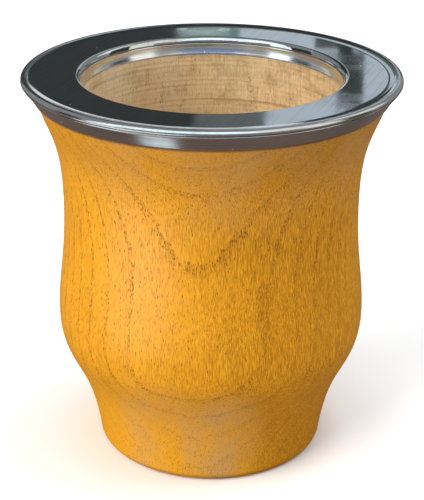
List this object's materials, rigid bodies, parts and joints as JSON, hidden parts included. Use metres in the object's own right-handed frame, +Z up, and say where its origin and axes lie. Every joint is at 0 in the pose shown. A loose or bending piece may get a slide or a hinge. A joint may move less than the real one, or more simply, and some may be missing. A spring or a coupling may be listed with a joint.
{
  "type": "mate cup",
  "caption": "Turned wooden mate cup with a flared neck, a full belly and a small foot, and a wide flat steel rim with a rolled hem, a conical skirt and a collar that lines the mouth",
  "frame": {"origin": "centre of the foot's flat underside, where the cup stands", "axes": "+Z up along the cup's axis of turning, -Y to the side that the picture shows, +X to that side's right"},
  "size_m": [0.09, 0.09, 0.0957],
  "materials": {
    "wood": "satin oiled outside, bare inside",
    "steel": "polished stainless sheet with a fine straight grain",
    "adhesive": "cured clear adhesive"
  },
  "bodies": {
    "root": {"wooden_cup": "wood", "rim_plate": "steel", "outer_skirt": "steel", "inner_collar": "steel", "sealing_glue": "adhesive"}
  },
  "joints": []
}
